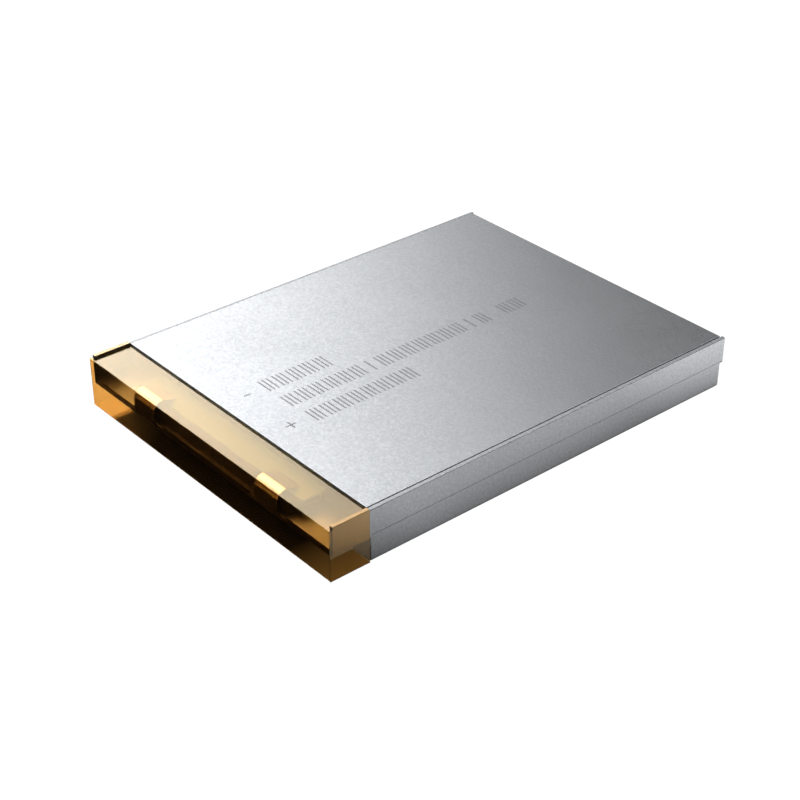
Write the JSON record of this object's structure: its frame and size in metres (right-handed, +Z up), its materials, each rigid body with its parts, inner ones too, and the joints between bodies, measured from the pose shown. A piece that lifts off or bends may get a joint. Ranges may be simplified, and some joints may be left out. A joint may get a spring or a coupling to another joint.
{
  "type": "pouch battery cell",
  "caption": "Flat rectangular lithium-ion pouch cell in aluminium laminate, with folded side seals and an amber insulating tape box over its tabs.",
  "frame": {"origin": "centre of the cell's box at its underside, where it rests", "axes": "+Y along the length away from the terminal end, +Z up through the thickness, +X across the width towards the positive tab's side"},
  "size_m": [0.045, 0.0604, 0.0068],
  "materials": {
    "laminate": "fine satin grain",
    "polyimide": "clear amber film",
    "pad": "matt black closed-cell foam",
    "paper": "smooth blue-green insulating paper",
    "nickel": "bright rolled",
    "tab_aluminium": "bright rolled",
    "copper": "bright rolled copper foil",
    "sealant": "translucent satin",
    "graphite": "matt coating",
    "oxide": "matt coating",
    "separator": "satin porous film",
    "roll_tape": "gloss tape"
  },
  "bodies": {
    "root": {"pouch_upper_shell": "laminate", "pouch_lower_shell": "laminate", "terminal_tape_wrap": "polyimide", "terminal_tape_left_end": "polyimide", "terminal_tape_right_end": "polyimide", "tab_support_pad": "pad", "tab_insulation_paper": "paper", "negative_tab": "nickel", "negative_tab_film_upper": "sealant", "negative_tab_film_lower": "sealant", "negative_foil_lead": "copper", "negative_weld_tape": "roll_tape", "positive_tab": "tab_aluminium", "positive_tab_film_upper": "sealant", "positive_tab_film_lower": "sealant", "positive_foil_lead": "tab_aluminium", "positive_weld_tape": "roll_tape", "separator_inner": "separator", "anode_strip": "graphite", "separator_outer": "separator", "cathode_strip": "oxide", "roll_rear_tape": "roll_tape"}
  },
  "joints": []
}
